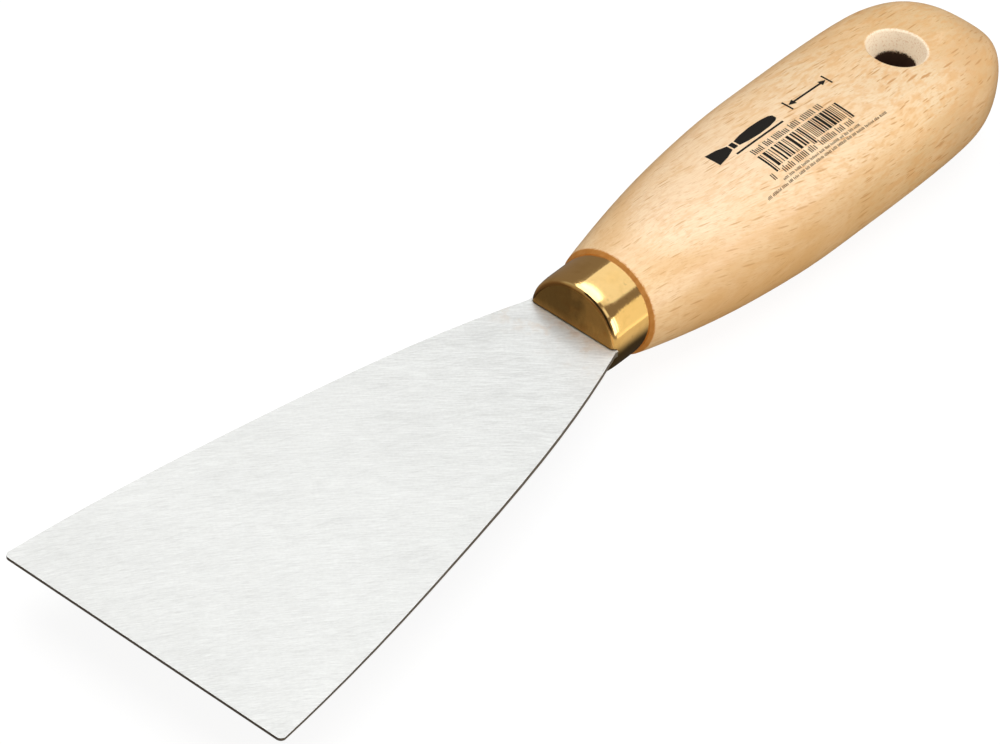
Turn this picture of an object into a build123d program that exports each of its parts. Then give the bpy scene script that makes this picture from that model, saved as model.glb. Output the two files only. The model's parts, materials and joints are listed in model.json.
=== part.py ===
from build123d import *

import os
from math import hypot, radians, sin, tan

os.makedirs("parts", exist_ok=True)

# A painter's spatula: a conically ground steel blade, a drawn brass ferrule and a beech handle.
# Millimetres.  The origin is the middle of the hanging hole.  +X runs along the tool to the
# working edge, +Y across the blade, and +Z squarely out of the blade's upper flat.

# Driving dimensions: blade
edge_width = 60.0  # across the working edge
quarter_width = 53.7  # a quarter of the way from the working edge to the ferrule
middle_width = 44.8  # half way
three_quarter_width = 34.2  # three quarters of the way
neck_width = 19.2  # at the ferrule, just proud of it on both sides
blade_reach = 108.4  # from the ferrule's front face to the working edge
edge_thickness = 0.6  # the conical grind thins the blade from neck to edge
neck_thickness = 1.2
corner_radius = 1.0
tang_length = 47.0  # behind the shoulders
tang_root_width = 8.0
tang_tip_width = 4.0

# Driving dimensions: ferrule
ferrule_diameter = 19.0
ferrule_length = 9.4
ferrule_wall = 0.5
draw_in_length = 3.2  # the cup narrows a little over this length behind its front face
draw_in = 0.30  # and its radius is this much less there
rim_radius = 1.2  # outside, where the drawn cup turns into its front face
slot_gap = 0.3  # above and below the blade
notch_depth = 0.8  # the slot cuts this far back into the rim, and the blade's shoulders rest there

# Driving dimensions: handle
shoulder_diameter = 20.1  # the round end that the ferrule seats against
shoulder_chamfer = 0.5
handle_length = 103.7  # from the shoulder to the butt, without the spigot
hole_from_butt = 23.6
hole_diameter = 7.8
hole_mouth_diameter = 11.4
hole_mouth_angle = 48.5  # included angle of both mouths
hole_mouth_round = 0.5
tang_hole_diameter = 8.6
tang_hole_spare = 2.0  # drilled this much deeper than the tang reaches
drill_point_angle = 118.0
kerf_width = 1.5  # saw cut across the spigot's end that clears the blade's shoulders
kerf_depth = 1.2

# The handle's outlines from above and from the side, as distance behind the shoulder and half size
plan_outline = [
    (0, shoulder_diameter / 2),
    (12.4, 12.45),
    (26, 14.3),
    (41.5, 15.3),
    (57, 15.75),
    (72.5, 16.1),
    (88, 15.65),
    (handle_length, 13.75),
]
side_outline = [
    (0, shoulder_diameter / 2),
    (12.4, 11.9),
    (26, 12.7),
    (41.5, 12.7),
    (57, 12.2),
    (72.5, 11.3),
    (88, 9.8),
    (handle_length, 7.0),
]
butt_round_plan = 20.2  # length over which the butt rounds off, seen from above
butt_round_side = 12.1  # and seen from the side
butt_fullness = 2.14  # 2 is an elliptical end, more is squarer
round_fullness = 0.5523  # Bezier handle of a circular quarter
grip_fullness = 0.795  # and of the grip's flattened section
grip_start = 44.0  # behind the shoulder, where the section has its full squareness
grip_stations = [0, 6, 13, 22, 32, 43, 54, 65, 75]  # sections of the loft ahead of the butt
butt_steps = 9  # and the number of them round the butt
butt_end_share = 0.9985  # the last one leaves a flat the size of a pinhead

# Derived places along X
butt_x = -hole_from_butt
shoulder_x = butt_x + handle_length
ferrule_front_x = shoulder_x + ferrule_length
edge_x = ferrule_front_x + blade_reach
blade_shoulder_x = ferrule_front_x - notch_depth
spigot_front_x = ferrule_front_x - ferrule_wall
tang_tip_x = blade_shoulder_x - tang_length
tang_hole_end_x = tang_tip_x - tang_hole_spare
kerf_floor_x = spigot_front_x - kerf_depth
spigot_radius = ferrule_diameter / 2 - ferrule_wall


# Blade and tang, one piece of spring steel
def side_x(share):
    """X of a place on the blade's side, as a share of its reach from the working edge."""
    return edge_x - share * blade_reach


with BuildPart() as blade:
    with BuildSketch():
        with BuildLine():
            side = Spline(
                (edge_x, edge_width / 2),
                (side_x(0.25), quarter_width / 2),
                (side_x(0.50), middle_width / 2),
                (side_x(0.75), three_quarter_width / 2),
                (ferrule_front_x, neck_width / 2),
            )
            Polyline(
                side @ 1,
                (blade_shoulder_x, neck_width / 2),
                (blade_shoulder_x, tang_root_width / 2),
                (tang_tip_x, tang_tip_width / 2),
                (tang_tip_x, 0),
                (edge_x, 0),
                side @ 0,
            )
        make_face()
        mirror(about=Plane.XZ)
        fillet(vertices().group_by(Axis.X)[-1], corner_radius)
        fillet(vertices().group_by(Axis.X)[0], tang_tip_width / 4)
    extrude(amount=neck_thickness / 2, both=True)
    with BuildSketch(Plane.XZ):
        Polygon(
            (tang_tip_x, neck_thickness / 2),
            (ferrule_front_x, neck_thickness / 2),
            (edge_x, edge_thickness / 2),
            (edge_x, -edge_thickness / 2),
            (ferrule_front_x, -neck_thickness / 2),
            (tang_tip_x, -neck_thickness / 2),
            align=None,
        )
    extrude(amount=edge_width, both=True, mode=Mode.INTERSECT)
blade.part.label = "blade"
export_step(blade.part, "parts/blade.step")


# Ferrule, a drawn brass cup with a slot across its front
def cup_shape(radius, front_x, front_round):
    """Solid with the shape of the cup's outside, or of the space inside it."""
    with BuildPart() as solid:
        with BuildSketch(Plane.XZ):
            with BuildLine():
                straight = Line((shoulder_x, radius), (front_x - draw_in_length, radius))
                nose = TangentArc(straight @ 1, (front_x, radius - draw_in), tangent=(1, 0))
                Polyline(nose @ 1, (front_x, 0), (shoulder_x, 0), straight @ 0)
            make_face()
        revolve(axis=Axis.X)
        fillet(edges().filter_by(GeomType.CIRCLE).group_by(Axis.X)[-1], front_round)
    return solid.part


cup_outside = cup_shape(ferrule_diameter / 2, ferrule_front_x, rim_radius)
cup_space = cup_shape(spigot_radius, spigot_front_x, rim_radius - ferrule_wall)

with BuildPart() as ferrule:
    add(cup_outside)
    add(cup_space, mode=Mode.SUBTRACT)
    with BuildSketch(Plane.XY):
        with Locations((ferrule_front_x, 0)):
            Rectangle(2 * notch_depth, 2 * ferrule_diameter)
    extrude(amount=neck_thickness / 2 + slot_gap, both=True, mode=Mode.SUBTRACT)
ferrule.part.label = "ferrule"
export_step(ferrule.part, "parts/ferrule.step")


# Handle, turned and shaped from one piece of beech
def height_at(curve, distance):
    """Height of an outline curve at a distance along it, found by halving its parameter range."""
    low, high = 0.0, 1.0
    for _ in range(40):
        middle = (low + high) / 2
        if (curve @ middle).X < distance:
            low = middle
        else:
            high = middle
    return (curve @ low).Y


def butt_taper(distance, length):
    """Share of the section left where the butt rounds off over its last length."""
    depth = max(0.0, (distance - handle_length + length) / length)
    return (1 - min(1.0, depth) ** butt_fullness) ** (1 / butt_fullness)


def tang_hole_profile():
    """Half section of the drilled hole round the tang, on the XZ plane."""
    radius = tang_hole_diameter / 2
    point_depth = radius / tan(radians(drill_point_angle / 2))
    Polygon(
        (spigot_front_x, 0),
        (spigot_front_x, radius),
        (tang_hole_end_x, radius),
        (tang_hole_end_x - point_depth, 0),
        align=None,
    )


def rings_the_hole(edge):
    """Whether both ends of an edge lie on the hanging hole's mouths."""
    return all(hypot(end.X, end.Y) < hole_mouth_diameter for end in (edge @ 0, edge @ 1))


plan_curve = Spline(*plan_outline, mode=Mode.PRIVATE)
side_curve = Spline(*side_outline, mode=Mode.PRIVATE)
butt_angles = [90 * step / butt_steps for step in range(butt_steps)]
butt_shares = [sin(radians(angle)) for angle in butt_angles] + [butt_end_share]
butt_stations = [handle_length - butt_round_plan * (1 - share) for share in butt_shares]

# The hanging hole's mouths, which open as cones at the grip's upper and lower faces
mouth_z = height_at(side_curve, shoulder_x)
mouth_slope = tan(radians(hole_mouth_angle / 2))
wall_top_z = mouth_z - (hole_mouth_diameter - hole_diameter) / 2 / mouth_slope
cutter_top_z = mouth_z + 2
cutter_radius = hole_diameter / 2 + (cutter_top_z - wall_top_z) * mouth_slope

with BuildPart() as handle:
    for station in grip_stations + butt_stations:
        half_width = height_at(plan_curve, station) * butt_taper(station, butt_round_plan)
        half_depth = height_at(side_curve, station) * butt_taper(station, butt_round_side)
        squareness = min(1.0, station / grip_start)
        fullness = round_fullness + (grip_fullness - round_fullness) * squareness
        with BuildSketch(Plane.YZ.offset(shoulder_x - station)):
            with BuildLine():
                for y_side, z_side in [(1, 1), (-1, 1), (-1, -1), (1, -1)]:
                    on_side = (y_side * half_width, 0)
                    side_handle = (y_side * half_width, z_side * half_depth * fullness)
                    top_handle = (y_side * half_width * fullness, z_side * half_depth)
                    on_top = (0, z_side * half_depth)
                    quarter = [on_side, side_handle, top_handle, on_top]
                    if y_side * z_side < 0:
                        quarter.reverse()
                    Bezier(*quarter)
            make_face()
    loft()
    chamfer(edges().group_by(Axis.X)[-1], shoulder_chamfer)

    add(cup_space)
    with BuildSketch(Plane.XZ):
        tang_hole_profile()
    revolve(axis=Axis.X, mode=Mode.SUBTRACT)

    with BuildSketch(Plane.XY):
        with Locations((spigot_front_x, 0)):
            Rectangle(2 * kerf_depth, ferrule_diameter)
    extrude(amount=kerf_width / 2, both=True, mode=Mode.SUBTRACT)

    Hole(hole_diameter / 2)
    for z_side in (1, -1):
        with BuildSketch(Plane.XZ):
            Polygon(
                (0, z_side * wall_top_z),
                (hole_diameter / 2, z_side * wall_top_z),
                (cutter_radius, z_side * cutter_top_z),
                (0, z_side * cutter_top_z),
                align=None,
            )
        revolve(axis=Axis.Z, mode=Mode.SUBTRACT)
    fillet(edges().filter_by(GeomType.BSPLINE).filter_by(rings_the_hole), hole_mouth_round)
handle.part.label = "handle"
export_step(handle.part, "parts/handle.step")


# Adhesive, the cured resin that fills the drilled hole round the flat tang
with BuildPart() as tang_adhesive:
    with BuildSketch(Plane.XZ):
        tang_hole_profile()
    revolve(axis=Axis.X)
    split(bisect_by=Plane.YZ.offset(kerf_floor_x), keep=Keep.BOTTOM)
    add(blade.part, mode=Mode.SUBTRACT)
tang_adhesive.part.label = "tang_adhesive"
export_step(tang_adhesive.part, "parts/tang_adhesive.step")

print(f"hanging hole wall: radius {hole_diameter / 2:.2f}, length {2 * wall_top_z:.2f}")
print(f"overall length {edge_x - butt_x:.1f}")
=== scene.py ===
import json
import math
import random

import bmesh
import bpy
from mathutils import Matrix, Quaternion, Vector
from mathutils.bvhtree import BVHTree


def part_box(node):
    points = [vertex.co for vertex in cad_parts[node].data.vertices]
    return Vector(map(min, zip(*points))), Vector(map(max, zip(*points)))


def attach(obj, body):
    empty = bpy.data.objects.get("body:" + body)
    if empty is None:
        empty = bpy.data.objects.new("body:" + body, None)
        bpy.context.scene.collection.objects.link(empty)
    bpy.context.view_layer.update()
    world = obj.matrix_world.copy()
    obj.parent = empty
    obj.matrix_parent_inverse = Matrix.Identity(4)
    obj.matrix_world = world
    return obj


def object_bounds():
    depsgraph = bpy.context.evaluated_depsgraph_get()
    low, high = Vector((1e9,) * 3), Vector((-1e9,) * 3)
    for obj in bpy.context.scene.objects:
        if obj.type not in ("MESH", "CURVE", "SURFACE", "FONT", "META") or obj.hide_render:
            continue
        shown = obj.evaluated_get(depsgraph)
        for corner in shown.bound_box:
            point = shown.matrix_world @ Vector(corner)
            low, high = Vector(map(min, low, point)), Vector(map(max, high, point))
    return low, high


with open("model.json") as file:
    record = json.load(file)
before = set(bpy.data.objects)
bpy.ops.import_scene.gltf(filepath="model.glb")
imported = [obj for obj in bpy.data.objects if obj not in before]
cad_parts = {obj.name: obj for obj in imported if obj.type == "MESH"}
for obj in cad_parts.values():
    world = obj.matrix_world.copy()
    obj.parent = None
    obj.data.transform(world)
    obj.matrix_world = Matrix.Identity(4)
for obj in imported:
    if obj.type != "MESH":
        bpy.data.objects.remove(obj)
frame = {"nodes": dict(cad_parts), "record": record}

# A painter's spatula: ground steel blade, drawn brass ferrule and lacquered beech handle, with a generic
# printed marking. Objects are in metres in the row frame: the origin is the middle of the hanging hole,
# +X runs along the tool to the working edge, +Y across the blade and +Z out of the upper face. Materials
# and the marking are laid out in millimetres in the same frame.

cad_low, cad_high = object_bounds()
MM = 0.001
NODES = frame["nodes"]
FERRULE_LOW, FERRULE_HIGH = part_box("ferrule")
SHOULDER_X = FERRULE_LOW[0] / MM           # the handle's round end, which the ferrule seats against
FERRULE_FRONT_X = FERRULE_HIGH[0] / MM     # the blade comes out of the ferrule here
HOLE = frame["record"]["mounts"][0]["dims"]
BORE_TOP = HOLE["length_mm"] / 2           # the hanging hole's straight wall ends this far from the middle
RAW_RADIUS = HOLE["r_mm"] + 1.85           # the raw wood of its two mouths ends this far from its axis


# ---------------------------------------------------------------------------------------------------------
# Camera
# ---------------------------------------------------------------------------------------------------------

CAMERA_TARGET = Vector((0.10715, -0.00112, 0.00073))
CAMERA_DISTANCE = 1.09186
CAMERA_AZIMUTH = math.radians(35.779)      # from +X towards +Y
CAMERA_ELEVATION = math.radians(41.733)
CAMERA_LEAN = math.radians(6.28)           # the camera's top leans to its own left
CAMERA_LENS = 234                          # a long lens, in mm
SENSOR_WIDTH = 36                          # in mm
CAMERA_REACH = (0.05, 50)                  # the nearest and the furthest that it sees


def direction(azimuth, elevation):
    """The unit vector at an azimuth from +X towards +Y and an elevation, both in radians."""
    level = math.cos(elevation)
    return Vector((math.cos(azimuth) * level, math.sin(azimuth) * level, math.sin(elevation)))


def add_camera():
    camera_data = bpy.data.cameras.new("camera")
    camera_data.lens = CAMERA_LENS
    camera_data.sensor_width = SENSOR_WIDTH
    camera_data.clip_start, camera_data.clip_end = CAMERA_REACH
    camera = bpy.data.objects.new("camera", camera_data)
    bpy.context.scene.collection.objects.link(camera)
    back = direction(CAMERA_AZIMUTH, CAMERA_ELEVATION)
    camera.rotation_mode = "QUATERNION"
    camera.location = CAMERA_TARGET + back * CAMERA_DISTANCE
    camera.rotation_quaternion = (-back).to_track_quat("-Z", "Y") @ Quaternion((0, 0, 1), CAMERA_LEAN)
    bpy.context.scene.camera = camera


# ---------------------------------------------------------------------------------------------------------
# Shader nodes
# ---------------------------------------------------------------------------------------------------------

class Shader:
    """Adds nodes to one node tree and joins them. A value is a number, a vector, a colour or a socket."""

    def __init__(self, tree):
        self.tree = tree
        tree.nodes.clear()

    def feed(self, socket, value):
        if isinstance(value, bpy.types.NodeSocket):
            self.tree.links.new(value, socket)
        else:
            socket.default_value = value

    def node(self, kind, values=None, **settings):
        made = self.tree.nodes.new("ShaderNode" + kind)
        for name, value in settings.items():
            setattr(made, name, value)
        for place, value in (values or {}).items():
            self.feed(made.inputs[place], value)
        return made

    def math(self, operation, *values, clamp=False):
        return self.node("Math", dict(enumerate(values)), operation=operation, use_clamp=clamp).outputs[0]

    def add(self, first, *others):
        total = first
        for other in others:
            total = self.math("ADD", total, other)
        return total

    def times(self, first, *others):
        product = first
        for other in others:
            product = self.math("MULTIPLY", product, other)
        return product

    def minus(self, a, b):
        return self.math("SUBTRACT", a, b)

    def absolute(self, value):
        return self.math("ABSOLUTE", value)

    def vector(self, operation, *values):
        made = self.node("VectorMath", dict(enumerate(values)), operation=operation)
        gives_number = operation in ("DOT_PRODUCT", "LENGTH", "DISTANCE")
        return made.outputs["Value" if gives_number else "Vector"]

    def split(self, vector):
        return self.node("SeparateXYZ", {0: vector}).outputs

    def join(self, x, y, z):
        return self.node("CombineXYZ", {0: x, 1: y, 2: z}).outputs[0]

    def line(self, value, low, high, to_low=0.0, to_high=1.0, **settings):
        """Goes straight from to_low to to_high as the value goes from low to high."""
        values = {"Value": value, "From Min": low, "From Max": high, "To Min": to_low, "To Max": to_high}
        return self.node("MapRange", values, **settings).outputs[0]

    def step(self, value, low, high, to_low=0.0, to_high=1.0):
        """Goes smoothly from to_low to to_high as the value goes from low to high."""
        return self.line(value, low, high, to_low, to_high, interpolation_type="SMOOTHSTEP")

    def band(self, value, start, full, full_end, end):
        """Is 1 between full and full_end, and falls smoothly to 0 at start and end."""
        return self.times(self.step(value, start, full), self.step(value, end, full_end))

    def noise(self, vector, scale, detail=2.0, roughness=0.5):
        values = {"Vector": vector, "Scale": scale, "Detail": detail, "Roughness": roughness}
        return self.node("TexNoise", values).outputs[0]

    def spread(self, noise, to_low, to_high):
        """Goes straight from to_low to to_high over the range where most of a noise lies."""
        return self.line(noise, 0.3, 0.7, to_low, to_high)

    def mix(self, factor, a, b):
        return self.node("Mix", {0: factor, 6: a, 7: b}, data_type="RGBA").outputs[2]

    def layers(self, colour, coats):
        """Lays coats of (cover, colour) over a colour, one after the other."""
        for cover, coat in coats:
            colour = self.mix(cover, colour, coat)
        return colour

    def bump(self, height, distance):
        return self.node("Bump", {"Height": height, "Distance": distance}).outputs[0]

    def millimetres(self):
        """The place on the object in millimetres in the row frame."""
        place = self.node("TexCoord").outputs["Object"]
        return self.vector("MULTIPLY", place, (1 / MM, 1 / MM, 1 / MM))

    def normal(self):
        return self.node("NewGeometry").outputs["Normal"]

    def surface(self, values):
        principled = self.node("BsdfPrincipled", values)
        self.node("OutputMaterial", {"Surface": principled.outputs[0]})


def new_material(name):
    material = bpy.data.materials.new(name)
    material.use_nodes = True
    return material, Shader(material.node_tree)


def grey(value):
    return (value, value, value, 1.0)


# ---------------------------------------------------------------------------------------------------------
# Steel: scratches of a grinding belt, in wide arcs across the blade
# ---------------------------------------------------------------------------------------------------------

GRIND_CENTRE = (367.0, 250.0, 0.0)         # the middle of the arcs, in mm
SECOND_GRIND_CENTRE = (300.0, 420.0, 0.0)  # of the few scratches left from an earlier pass
ARC_RADIUS = 309.0                         # from the arcs' middle to the blade's, in mm


def steel_material():
    material, shader = new_material("ground_steel")
    place = shader.millimetres()
    from_ferrule = shader.minus(shader.split(place)[0], FERRULE_FRONT_X)

    def scratches(centre, width, length, detail):
        """Noise drawn out along arcs round a centre, for scratches of about that width and length in mm."""
        x, y, z = shader.split(shader.vector("SUBTRACT", place, centre))
        radius = shader.vector("LENGTH", shader.join(x, y, 0.0))
        along = shader.times(shader.math("ARCTAN2", y, x), ARC_RADIUS)
        drawn_out = shader.join(
            shader.math("DIVIDE", radius, width),
            shader.math("DIVIDE", along, length),
            shader.times(z, 0.3),
        )
        return shader.noise(drawn_out, 1.0, detail, roughness=0.6)

    fine = scratches(GRIND_CENTRE, width=0.15, length=3.0, detail=2.0)
    medium = scratches(GRIND_CENTRE, width=0.36, length=7.0, detail=2.0)
    broad = scratches(GRIND_CENTRE, width=2.2, length=22.0, detail=1.0)
    crossing = scratches(SECOND_GRIND_CENTRE, width=0.25, length=8.0, detail=1.0)
    grit = shader.noise(place, scale=1.8, detail=2.0, roughness=0.6)
    blotch = shader.noise(place, scale=0.05, detail=3.0, roughness=0.55)
    stain = shader.noise(place, scale=0.35, detail=3.0, roughness=0.6)

    # The scratches reach from -1, dark, to 1, bright, and are strongest towards the ferrule.
    streaks = shader.add(
        shader.spread(fine, -0.60, 0.60),
        shader.spread(medium, -0.28, 0.28),
        shader.spread(broad, -0.11, 0.11),
        shader.spread(crossing, 0.10, -0.10),
        shader.step(crossing, 0.60, 0.72, 0.0, -0.25),
        shader.spread(grit, -0.24, 0.24),
    )
    streaks = shader.times(streaks, shader.step(from_ferrule, 50.5, 15.5, 1.0, 1.5))

    # The blade is painted a little darker towards the ferrule, a painted shade of the ferrule, with a brown
    # stain right in front of it.
    tone = shader.add(shader.line(streaks, -1.0, 1.0, 0.634, 0.777), shader.spread(blotch, -0.012, 0.012))
    tone = shader.times(tone, shader.line(from_ferrule, 5.5, 60.5, 0.915, 0.985))
    faces = shader.join(shader.times(tone, 0.963), tone, tone)
    stained = shader.times(shader.step(stain, 0.48, 0.70), shader.step(from_ferrule, 11.5, 1.5, 0.0, 0.50))
    brown = (0.56, 0.47, 0.38, 1.0)
    edge_steel = (0.60, 0.58, 0.56, 1.0)

    upright = shader.absolute(shader.split(shader.normal())[2])
    edge = shader.step(upright, 0.75, 0.55)
    face = shader.step(upright, 0.55, 0.75)
    shader.surface({
        "Base Color": shader.layers(faces, [(stained, brown), (edge, edge_steel)]),
        "Metallic": 1.0,
        "Roughness": shader.line(streaks, -1.0, 1.0, 0.53, 0.45),
        "Anisotropic": 0.85,
        "Tangent": shader.vector("NORMALIZE", shader.vector("SUBTRACT", place, GRIND_CENTRE)),
        "Normal": shader.bump(shader.times(streaks, face), 0.000004),
    })
    return material


# ---------------------------------------------------------------------------------------------------------
# Brass: drawn and polished, with faint lines round it from the drawing and a little tarnish
# ---------------------------------------------------------------------------------------------------------

def brass_material():
    material, shader = new_material("drawn_brass")
    place = shader.millimetres()
    x, y, z = shader.split(place)
    turn = shader.math("ARCTAN2", y, z)
    lines = shader.noise(shader.join(shader.times(turn, 1.6), 0.0, shader.times(x, 3.0)), scale=1.0)
    grain = shader.noise(place, scale=2.6, detail=3.0, roughness=0.6)
    tarnish = shader.noise(place, scale=0.28, detail=4.0, roughness=0.6)
    spots = shader.noise(place, scale=0.9, detail=2.0, roughness=0.6)

    clean = (0.93, 0.66, 0.275, 1.0)
    dull = (0.80, 0.53, 0.19, 1.0)
    unpolished = (0.91, 0.47, 0.125, 1.0)
    grime_and_shade = (0.35, 0.19, 0.051, 1.0)

    # The front face was never polished. A painted shade darkens most of it, least on its +Y side and at the
    # blade, and most towards its top.
    forward = shader.split(shader.normal())[0]
    front_face = shader.step(forward, 0.60, 0.97)
    face_shade = shader.line(shader.add(y, shader.spread(tarnish, -2.0, 2.0)), -1.0, 4.5, 0.95, 0.05)
    face_shade = shader.times(face_shade, shader.step(z, 0.8, 2.8, 0.45, 1.0))
    face_shade = shader.math("MAXIMUM", face_shade, shader.step(z, 2.0, 5.0, 0.0, 0.35))
    colour = shader.layers(clean, [
        (shader.step(tarnish, 0.48, 0.72, 0.0, 0.55), dull),
        (shader.step(spots, 0.66, 0.74, 0.0, 0.25), grime_and_shade),
        (front_face, unpolished),
        (shader.times(front_face, face_shade), grime_and_shade),
    ])
    roughness = shader.add(shader.spread(grain, 0.08, 0.12), shader.step(tarnish, 0.45, 0.75, 0.0, 0.06))
    shader.surface({
        "Base Color": colour,
        "Metallic": 1.0,
        "Roughness": roughness,
        "Normal": shader.bump(shader.add(lines, shader.times(grain, 0.35)), 0.000012),
    })
    return material


# ---------------------------------------------------------------------------------------------------------
# Beech: one block of wood in three dimensions, cut by the handle's surface
# ---------------------------------------------------------------------------------------------------------

PITH = Vector((0.0, -4.0, -40.0))          # the tree's middle, in mm: it runs along X below the handle
HEART = Vector((0.0, -4.0, -20.0))         # rays and fibres lie round this nearer line, mirrored below
HEART_RADIUS = 31.0                        # the handle's surface is about this far from it
GRAIN_BEND = 0.0012                        # the grain shifts sideways by this much times x squared, in mm
SIDE_GRAIN_BEND = GRAIN_BEND * 1.8         # the same on the +Y side
BEND_MIDDLE = 60.0                         # the x where it isn't shifted, in mm
GRAIN_DIRECTION = Vector((-0.97, 0.24, 0.0)).normalized()   # the fibres run a little off the axis
RING_START = 51.0                          # a growth ring ends and the next starts this far from the pith


def beech_material():
    material, shader = new_material("lacquered_beech")
    place = shader.millimetres()
    x, y, z = shader.split(place)
    mirrored_z = shader.absolute(z)
    wander = shader.spread(shader.noise(place, scale=0.05), -1.0, 1.0)

    # Where a place lies in the tree, in mm: from the pith, from the heart, round it and along the grain
    tree_radius = shader.vector("DISTANCE", shader.join(0.0, y, z), PITH)
    depth = shader.vector("DISTANCE", shader.join(0.0, y, mirrored_z), HEART)
    turn = shader.math("ARCTAN2", shader.minus(y, HEART.y), shader.minus(mirrored_z, HEART.z))
    bend = shader.times(
        shader.minus(shader.times(x, x), BEND_MIDDLE ** 2),
        shader.line(y, 3.0, 14.0, GRAIN_BEND, SIDE_GRAIN_BEND),
    )
    tangent = shader.add(shader.times(turn, HEART_RADIUS), bend, shader.times(wander, 0.5))
    along = shader.vector("DOT_PRODUCT", place, tuple(GRAIN_DIRECTION))

    def stretched(length, thickness, width):
        """The wood's own coordinates along the grain, outwards and round, each in units of such a size."""
        return shader.join(
            shader.math("DIVIDE", along, length),
            shader.math("DIVIDE", depth, thickness),
            shader.math("DIVIDE", tangent, width),
        )

    def rays(length, thickness, width, share, reach):
        """The wood's rays: flat upright cells, which the surface cuts into short brown flecks."""
        values = {"Vector": stretched(length, thickness, width), "Scale": 1.0, "Randomness": 1.0}
        cells = shader.node("TexVoronoi", values).outputs
        luck, size, _ = shader.node("SeparateColor", {0: cells["Color"]}).outputs
        limit = shader.line(size, 0.0, 1.0, reach * 0.6, reach)
        near = shader.math("DIVIDE", cells["Distance"], limit)
        return shader.times(shader.step(near, 1.0, 0.5), shader.step(luck, 1.0 - share, 1.1 - share))

    large_rays = rays(length=7.0, thickness=3.0, width=0.60, share=0.80, reach=0.31)
    small_rays = rays(length=3.6, thickness=2.0, width=0.40, share=0.75, reach=0.30)
    fibres = shader.noise(stretched(7.0, 0.25, 0.25), 1.0, detail=2.0, roughness=0.6)
    pores = shader.noise(stretched(1.5, 0.14, 0.14), 1.0, detail=1.0, roughness=0.5)
    cloud = shader.noise(stretched(12.0, 6.0, 4.0), 1.0, detail=3.0, roughness=0.55)
    mottle = shader.noise(stretched(2.8, 1.6, 1.0), 1.0, detail=2.0, roughness=0.6)
    speckle = shader.noise(place, scale=3.2, detail=2.0, roughness=0.7)
    uneven = shader.spread(speckle, -0.2, 0.2)

    pale = (0.915, 0.690, 0.450, 1.0)
    cream = (0.960, 0.720, 0.430, 1.0)
    sand = (0.720, 0.545, 0.312, 1.0)
    honey = (0.840, 0.575, 0.310, 1.0)
    amber = (0.780, 0.475, 0.200, 1.0)
    orange = (0.740, 0.420, 0.165, 1.0)
    brown = (0.580, 0.285, 0.085, 1.0)
    painted_shade_brown = (0.540, 0.330, 0.160, 1.0)
    end_grain = (0.620, 0.330, 0.120, 1.0)
    dark_ring = (0.550, 0.215, 0.032, 1.0)
    light_ring = (0.620, 0.270, 0.055, 1.0)
    raw_wood = (0.990, 0.840, 0.640, 1.0)
    raw_speck = (0.840, 0.600, 0.390, 1.0)
    bore_brown = (0.050, 0.020, 0.009, 1.0)

    # The wood grown before RING_START is darker, and its last growth darkest, with a soft uneven limit.
    ring_place = shader.add(tree_radius, shader.times(wander, 0.7), shader.spread(mottle, -0.6, 0.6))
    newer = shader.step(ring_place, RING_START - 0.6, RING_START + 0.6)
    late_wood = shader.band(
        ring_place, RING_START - 2.6, RING_START - 0.6, RING_START - 0.6, RING_START + 0.6
    )
    age_place = shader.add(
        tree_radius, shader.spread(cloud, -2.5, 2.5), shader.step(x, 25.0, -15.0, 0.0, -6.0)
    )
    older = shader.mix(shader.step(age_place, RING_START - 1.5, RING_START - 6.5), honey, amber)

    # The figure is weak at the front and strong at the butt, whose rim on the +Y side is painted browner, a
    # painted shade.
    towards_butt = shader.step(x, 52.0, 0.0)
    # Near the ferrule the wood is painted paler, a painted sheen of the lacquer.
    front_sheen = shader.step(x, SHOULDER_X - 14.1, SHOULDER_X - 3.1)
    patches = shader.line(towards_butt, 0.0, 1.0, 0.38, 0.78)
    small_flecks = shader.line(towards_butt, 0.0, 1.0, 0.42, 0.90)
    large_flecks = shader.line(towards_butt, 0.0, 1.0, 0.66, 1.0)
    butt_side_shade = shader.step(shader.minus(y, shader.times(x, 0.6)), 8.0, 17.0, 0.0, 0.32)

    # End grain drinks the lacquer and goes darker, most of all on the ring behind the ferrule.
    facing = shader.absolute(shader.vector("DOT_PRODUCT", shader.normal(), tuple(GRAIN_DIRECTION)))
    end_ring = shader.step(shader.add(x, uneven), SHOULDER_X - 0.85, SHOULDER_X - 0.45)
    ring_colour = shader.mix(shader.step(mottle, 0.35, 0.70), dark_ring, light_ring)

    # The hanging hole is cut after the lacquer, so its mouths are raw, and its bore is coloured a very dark
    # brown.
    from_axis = shader.add(shader.vector("LENGTH", shader.join(x, y, 0.0)), shader.times(uneven, 0.6))
    from_middle = shader.add(mirrored_z, shader.times(uneven, 1.5))
    raw = shader.step(from_axis, RAW_RADIUS + 0.25, RAW_RADIUS - 0.25)
    raw_colour = shader.mix(shader.step(speckle, 0.50, 0.70), raw_wood, raw_speck)
    bore = shader.times(raw, shader.step(from_middle, BORE_TOP + 0.1, BORE_TOP - 0.5))

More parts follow.
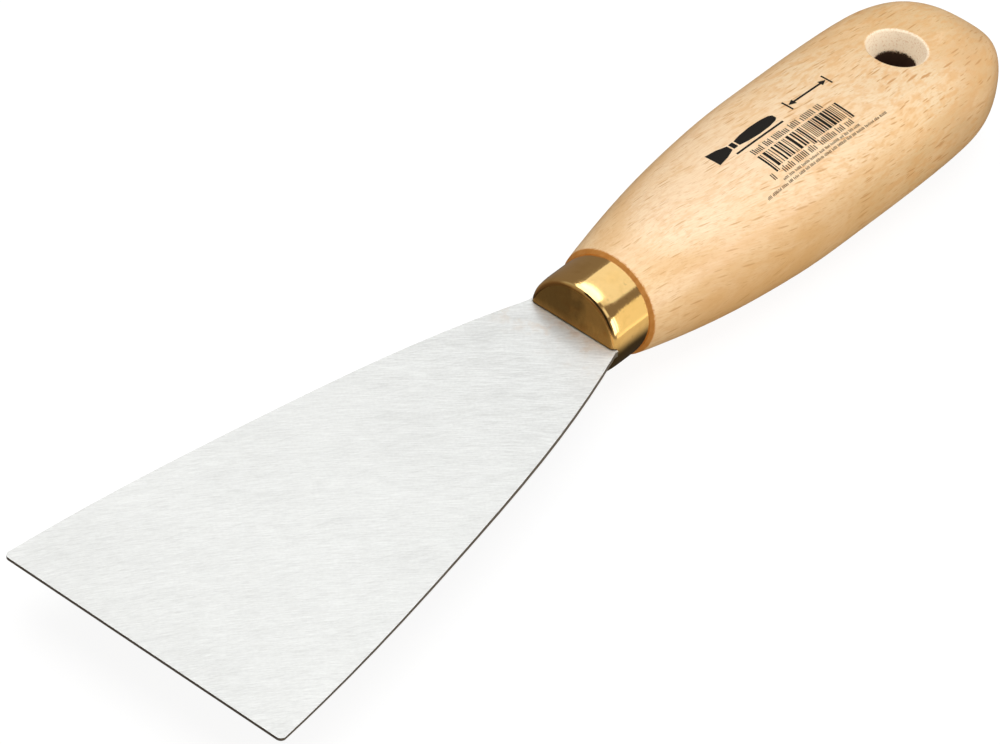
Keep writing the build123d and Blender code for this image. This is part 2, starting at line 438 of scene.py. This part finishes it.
    colour = shader.layers(older, [
        (newer, pale),
        (shader.times(towards_butt, 0.60), sand),
        (shader.times(front_sheen, 0.55), cream),
        (shader.times(late_wood, 0.30), orange),
        (shader.times(shader.step(cloud, 0.42, 0.68), patches), honey),
        (shader.times(shader.step(mottle, 0.42, 0.68), patches), orange),
        (shader.step(fibres, 0.38, 0.70, 0.0, 0.30), orange),
        (shader.step(pores, 0.58, 0.72, 0.0, 0.30), brown),
        (shader.times(small_rays, small_flecks), brown),
        (shader.times(large_rays, large_flecks), brown),
        (butt_side_shade, painted_shade_brown),
        (shader.step(facing, 0.45, 0.95, 0.0, 0.45), end_grain),
        (end_ring, ring_colour),
        (raw, raw_colour),
        (bore, bore_brown),
    ])
    height = shader.add(
        shader.spread(fibres, 0.0, 0.5), shader.times(large_rays, -0.6), shader.times(speckle, raw, 3.0)
    )
    gloss = shader.spread(cloud, 0.40, 0.48)
    bare = shader.math("MAXIMUM", raw, end_ring)
    shader.surface({
        "Base Color": colour,
        "Roughness": shader.math("ADD", gloss, shader.times(raw, 0.4), clamp=True),
        "Coat Weight": shader.math("SUBTRACT", 0.50, shader.times(bare, 0.50), clamp=True),
        "Coat Roughness": 0.25,
        "Normal": shader.bump(height, 0.000010),
    })
    return material


# ---------------------------------------------------------------------------------------------------------
# Cured adhesive round the tang, and the marking's ink
# ---------------------------------------------------------------------------------------------------------

def resin_material():
    material, shader = new_material("cured_resin")
    cloud = shader.noise(shader.millimetres(), scale=0.5, detail=3.0)
    dark = (0.42, 0.27, 0.10, 1.0)
    light = (0.55, 0.38, 0.17, 1.0)
    shader.surface({
        "Base Color": shader.mix(shader.step(cloud, 0.35, 0.65), dark, light),
        "Roughness": shader.spread(cloud, 0.30, 0.42),
        "Normal": shader.bump(cloud, 0.00005),
    })
    return material


def ink_material():
    material, shader = new_material("printed_ink")
    cover = shader.noise(shader.millimetres(), scale=4.0, detail=3.0, roughness=0.6)
    black = (0.008, 0.007, 0.006, 1.0)
    worn = (0.040, 0.028, 0.018, 1.0)
    shader.surface({
        "Base Color": shader.mix(shader.step(cover, 0.55, 0.80), black, worn),
        "Roughness": shader.spread(cover, 0.55, 0.70),
        "Specular IOR Level": 0.15,
    })
    return material


# ---------------------------------------------------------------------------------------------------------
# The printed marking: a generic pictogram, a width arrow, bars and rows of dashes, without any lettering
# ---------------------------------------------------------------------------------------------------------

INK_ABOVE = 0.020 * MM                     # the ink's upper face is this far above the wood
INK_BELOW = 0.015 * MM                     # and its lower face this far inside it
RAY_START = 0.05                           # a height well above the handle, in metres
STEP_ALONG = 1.2                           # the ink meets the wood at least this often along X, in mm
STEP_ACROSS = 0.9                          # and this often along Y
MARKING_SEED = 7

BAR_BLOCK = (43.9, 21.6)                   # the block of bars, from its first x to its last, in mm
BAR_TOP = 2.6                              # the y where every bar starts
SHORT_BAR_END = 6.4
LONG_BAR_END = 7.1
LONG_BAR_PLACES = ((42.9, 44.0), (32.4, 33.4), (21.6, 22.8))
BAR_WIDTHS = (0.20, 0.20, 0.20, 0.45, 0.70)
BAR_GAPS = (0.24, 0.24, 0.48)

DASHES_IN_WORD = (4, 9)
DASH_SPACING = (1.9, 2.5)                  # from dash to dash, times a dash's width
WORD_GAP = 2.2                             # more than that between words, times a dash's width
MISSING_ENDS = (0.0, 0.0, 0.25)            # the share of a dash's height that it may lack

# Rows of dashes: first x, last x, low y, high y and a dash's width, in mm
UPPER_ROW = (43.7, 24.2, 0.75, 2.10, 0.24)
LOWER_ROWS = (
    (45.6, 44.7, 6.75, 8.10, 0.22),
    (42.6, 33.5, 6.75, 8.10, 0.22),
    (32.2, 22.9, 6.75, 8.10, 0.22),
    (44.1, 22.7, 8.60, 9.10, 0.12),
    (49.5, 16.0, 9.50, 10.00, 0.12),
)


class Print:
    """Thin closed slabs of ink that follow the handle's upper surface."""

    def __init__(self, surface):
        depsgraph = bpy.context.evaluated_depsgraph_get()
        self.tree = BVHTree.FromObject(surface, depsgraph)
        self.mesh = bmesh.new()

    def on_surface(self, x, y):
        """The place and the outward direction on the handle's upper surface at x and y in mm."""
        above = Vector((x * MM, y * MM, RAY_START))
        place, normal, _, _ = self.tree.ray_cast(above, Vector((0, 0, -1)))
        return place, normal

    def shape(self, stations):
        """A slab between two edges: each station is (x, low y, high y) in mm."""
        across = max(1, math.ceil(max(high - low for _, low, high in stations) / STEP_ACROSS))
        top, bottom = [], []
        for x, low, high in stations:
            upper, lower = [], []
            for i in range(across + 1):
                place, normal = self.on_surface(x, low + (high - low) * i / across)
                upper.append(self.mesh.verts.new(place + normal * INK_ABOVE))
                lower.append(self.mesh.verts.new(place - normal * INK_BELOW))
            top.append(upper)
            bottom.append(lower)

        # The upper and lower faces, then the long sides, then the two ends
        last = len(stations) - 1
        faces = []
        for i in range(last):
            for j in range(across):
                faces.append((top[i][j], top[i + 1][j], top[i + 1][j + 1], top[i][j + 1]))
                faces.append((bottom[i][j], bottom[i][j + 1], bottom[i + 1][j + 1], bottom[i + 1][j]))
            for j in (0, across):
                faces.append((top[i][j], bottom[i][j], bottom[i + 1][j], top[i + 1][j]))
        for i in (0, last):
            for j in range(across):
                faces.append((top[i][j], top[i][j + 1], bottom[i][j + 1], bottom[i][j]))
        for corners in faces:
            self.mesh.faces.new(corners)

    def bar(self, x_from, x_to, low, high):
        """A rectangle of ink, divided so that it follows the surface."""
        pieces = max(1, math.ceil(abs(x_to - x_from) / STEP_ALONG))
        self.shape([(x_from + (x_to - x_from) * i / pieces, low, high) for i in range(pieces + 1)])

    def dashes(self, x_from, x_to, low, high, width, draw):
        """A row of short upright dashes in groups, as small print looks from arm's length."""
        x = x_from
        while x > x_to + width:
            for _ in range(draw.randint(*DASHES_IN_WORD)):
                if x <= x_to + width:
                    break
                missing = draw.choice(MISSING_ENDS) * (high - low)
                self.bar(x, x - width, low + missing, high)
                x -= width * draw.uniform(*DASH_SPACING)
            x -= width * WORD_GAP

    def finish(self, name):
        bmesh.ops.recalc_face_normals(self.mesh, faces=self.mesh.faces)
        data = bpy.data.meshes.new(name)
        self.mesh.to_mesh(data)
        self.mesh.free()
        made = bpy.data.objects.new(name, data)
        bpy.context.scene.collection.objects.link(made)
        return made


def print_pictogram(sheet):
    """A spatula's blade, ferrule and handle, with a line beside them."""
    sheet.shape([(50.2, -4.0, -0.5), (47.6, -3.6, -0.9), (45.4, -2.9, -1.6)])
    sheet.bar(45.0, 43.9, -2.95, -1.55)
    sheet.shape([
        (43.5, -2.95, -1.55), (41.5, -3.3, -1.2), (38.5, -3.5, -1.0),
        (35.6, -3.4, -1.1), (33.6, -3.1, -1.4), (32.9, -2.7, -1.8),
    ])
    sheet.bar(45.8, 32.8, -0.56, -0.16)


def print_width_arrow(sheet):
    """An arrow between two stops, the usual sign for a width."""
    sheet.bar(29.0, 28.6, -3.8, -1.2)
    sheet.bar(17.7, 17.3, -3.8, -1.2)
    sheet.shape([(28.4, -2.55, -2.45), (26.9, -3.15, -1.85)])
    sheet.bar(26.9, 19.4, -2.7, -2.3)
    sheet.shape([(19.4, -3.15, -1.85), (17.9, -2.55, -2.45)])


def print_bars(sheet, draw):
    """A block of bars of random widths, the longer ones at its ends and middle."""
    x, last = BAR_BLOCK
    while x > last:
        width = draw.choice(BAR_WIDTHS)
        long_bar = any(low < x < high for low, high in LONG_BAR_PLACES)
        sheet.bar(x, x - width, BAR_TOP, LONG_BAR_END if long_bar else SHORT_BAR_END)
        x -= width + draw.choice(BAR_GAPS)


def print_marking(surface):
    sheet = Print(surface)
    draw = random.Random(MARKING_SEED)
    print_pictogram(sheet)
    print_width_arrow(sheet)
    sheet.dashes(*UPPER_ROW, draw)
    print_bars(sheet, draw)
    for row in LOWER_ROWS:
        sheet.dashes(*row, draw)
    return sheet.finish("printed_marking")


# ---------------------------------------------------------------------------------------------------------
# Floor, lights and surroundings
# ---------------------------------------------------------------------------------------------------------

FLOOR_SIZE = 8.0
LIT_PLACE = Vector((0.09, 0.0, 0.0))       # the lamps face this place
LAMP_DISTANCE = 0.9
WHITE = (1.0, 1.0, 1.0)


def add_floor(height):
    """A pale, evenly lit table. Only the camera sees it, so it doesn't glare in the metal or from below."""
    half = FLOOR_SIZE / 2
    data = bpy.data.meshes.new("floor")
    corners = [(-half, -half, height), (half, -half, height), (half, half, height), (-half, half, height)]
    data.from_pydata(corners, [], [(0, 1, 2, 3)])
    floor = bpy.data.objects.new("floor", data)
    bpy.context.scene.collection.objects.link(floor)
    material, shader = new_material("pale_floor")
    mottle = shader.noise(shader.millimetres(), scale=0.02)
    shader.surface({
        "Base Color": shader.mix(mottle, grey(0.13), grey(0.15)),
        "Roughness": 0.9,
        "Specular IOR Level": 0.0,
        "Emission Color": grey(1.0),
        "Emission Strength": 0.90,
    })
    data.materials.append(material)
    floor.visible_glossy = False
    floor.visible_diffuse = False
    floor.visible_shadow = False


def add_softbox(name, towards, width, height, brightness, colour=WHITE, diffuse=True, glossy=True):
    """A rectangular lamp facing the tool, its width level. Brightness is the radiance of its face."""
    data = bpy.data.lights.new(name, "AREA")
    data.shape = "RECTANGLE"
    data.size = width
    data.size_y = height
    data.energy = brightness * math.pi * width * height
    data.color = colour
    lamp = bpy.data.objects.new(name, data)
    bpy.context.scene.collection.objects.link(lamp)
    back = Vector(towards).normalized()
    overhead = back.z > 0.9
    level = Vector((0, 1, 0) if overhead else (0, 0, 1)).cross(back).normalized()
    lamp.location = LIT_PLACE + back * LAMP_DISTANCE
    lamp.rotation_mode = "QUATERNION"
    lamp.rotation_quaternion = Matrix((level, back.cross(level), back)).transposed().to_quaternion()
    lamp.visible_camera = False
    lamp.visible_diffuse = diffuse
    lamp.visible_glossy = glossy


def add_lights():
    cream = (1.0, 0.90, 0.66)
    ivory = (1.0, 0.93, 0.82)
    peach = (1.0, 0.86, 0.72)
    add_softbox("overhead_softbox", (-0.08, -0.09, 1.0), 0.97, 0.94, 2.3)
    add_softbox("back_panel", (-0.618, 0.025, 0.66), 1.02, 0.50, 0.77)
    add_softbox("side_panel", (-0.60, 0.76, 0.06), 0.50, 0.60, 0.75, cream)
    add_softbox("side_softbox", (-0.20, 0.93, 0.17), 0.56, 0.46, 2.5)
    add_softbox("rim_softbox", (0.0, 0.72, 0.69), 0.60, 0.32, 0.70, diffuse=False)
    add_softbox("side_fill", (0.0, 0.95, -0.10), 1.0, 0.6, 0.85, ivory, glossy=False)
    add_softbox("front_fill", (0.90, 0.35, 0.25), 0.60, 0.50, 1.0, peach, glossy=False)


CARD_DIRECTION = Vector((0.66, -0.43, 0.62)).normalized()   # a pale card, on the -Y side of the camera


def add_surroundings():
    """A pale room, plain where it is seen directly. In reflections it is dimmer and darkest near the
    floor, with a warm glow off the table, a pale card and a dark gap between the lamps."""
    world = bpy.data.worlds.new("studio")
    world.use_nodes = True
    bpy.context.scene.world = world
    shader = Shader(world.node_tree)
    towards = shader.node("TexCoord").outputs["Generated"]
    forward, sideways, height = shader.split(towards)

    shadow = (0.040, 0.033, 0.026, 1.0)
    wall = (0.235, 0.185, 0.150, 1.0)
    table_glow = (0.740, 0.620, 0.460, 1.0)
    card = (0.430, 0.400, 0.355, 1.0)
    darkness = (0.022, 0.017, 0.012, 1.0)
    low_fill = (0.42, 0.36, 0.29, 1.0)
    high_fill = grey(0.37)

    glow = shader.times(shader.band(height, -0.76, -0.38, -0.26, -0.14), shader.step(sideways, 0.25, 0.50))
    near_card = shader.vector("DOT_PRODUCT", towards, tuple(CARD_DIRECTION))
    gap = shader.times(
        shader.band(forward, 0.40, 0.52, 0.80, 0.92),
        shader.step(sideways, -0.30, -0.12),
        shader.step(height, -0.15, 0.05),
    )
    room = shader.layers(shadow, [
        (shader.step(height, -0.62, -0.46), wall),
        (glow, table_glow),
        (shader.step(near_card, 0.78, 0.93), card),
        (gap, darkness),
    ])
    fill = shader.mix(shader.step(height, -0.3, 0.3), low_fill, high_fill)
    rays = shader.node("LightPath").outputs
    colour = shader.layers(fill, [(rays["Is Camera Ray"], grey(1.0)), (rays["Is Glossy Ray"], room)])
    background = shader.node("Background", {"Color": colour})
    shader.node("OutputWorld", {"Surface": background.outputs[0]})


# ---------------------------------------------------------------------------------------------------------
# Put it together
# ---------------------------------------------------------------------------------------------------------

bpy.context.scene.view_settings.view_transform = "Standard"
add_camera()
add_surroundings()
add_lights()
add_floor(cad_low.z)

finishes = {
    "blade": steel_material(),
    "ferrule": brass_material(),
    "handle": beech_material(),
    "tang_adhesive": resin_material(),
}
for name, material in finishes.items():
    for slot in NODES[name].material_slots:
        slot.material = material

marking = print_marking(NODES["handle"])
marking.data.materials.append(ink_material())
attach(marking, "root")
